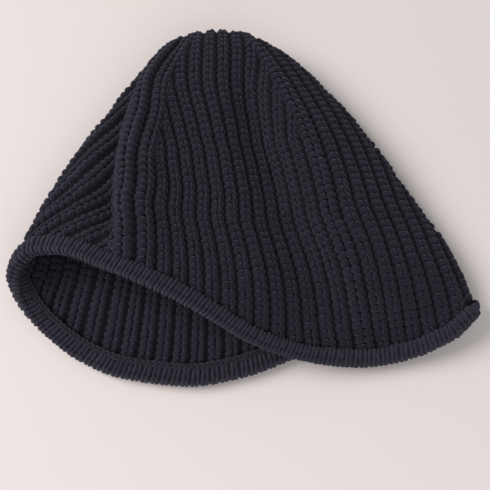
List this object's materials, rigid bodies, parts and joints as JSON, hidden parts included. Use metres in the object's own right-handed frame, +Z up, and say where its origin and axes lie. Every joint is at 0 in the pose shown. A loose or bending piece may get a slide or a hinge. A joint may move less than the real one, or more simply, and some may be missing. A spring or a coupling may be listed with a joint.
{
  "type": "ribbed knit cap",
  "caption": "Chunky ribbed knit cap with a domed tip, two-lobed hem and folded knitted edge band, lying flattened with its mouth open.",
  "frame": {"origin": "middle of the cap's bounding box in plan, on the table it lies on", "axes": "+Z up from the table, -Y out of the mouth towards the picture's bottom edge, +Y towards the tip, X across the cap"},
  "size_m": [0.2698, 0.2224, 0.0495],
  "materials": {
    "knit": "matt chunky ribbed knit, near-black navy",
    "band": "matt fine ribbed knit edge, near-black navy"
  },
  "bodies": {
    "root": {"crown": "knit", "hem_band": "band"}
  },
  "joints": []
}
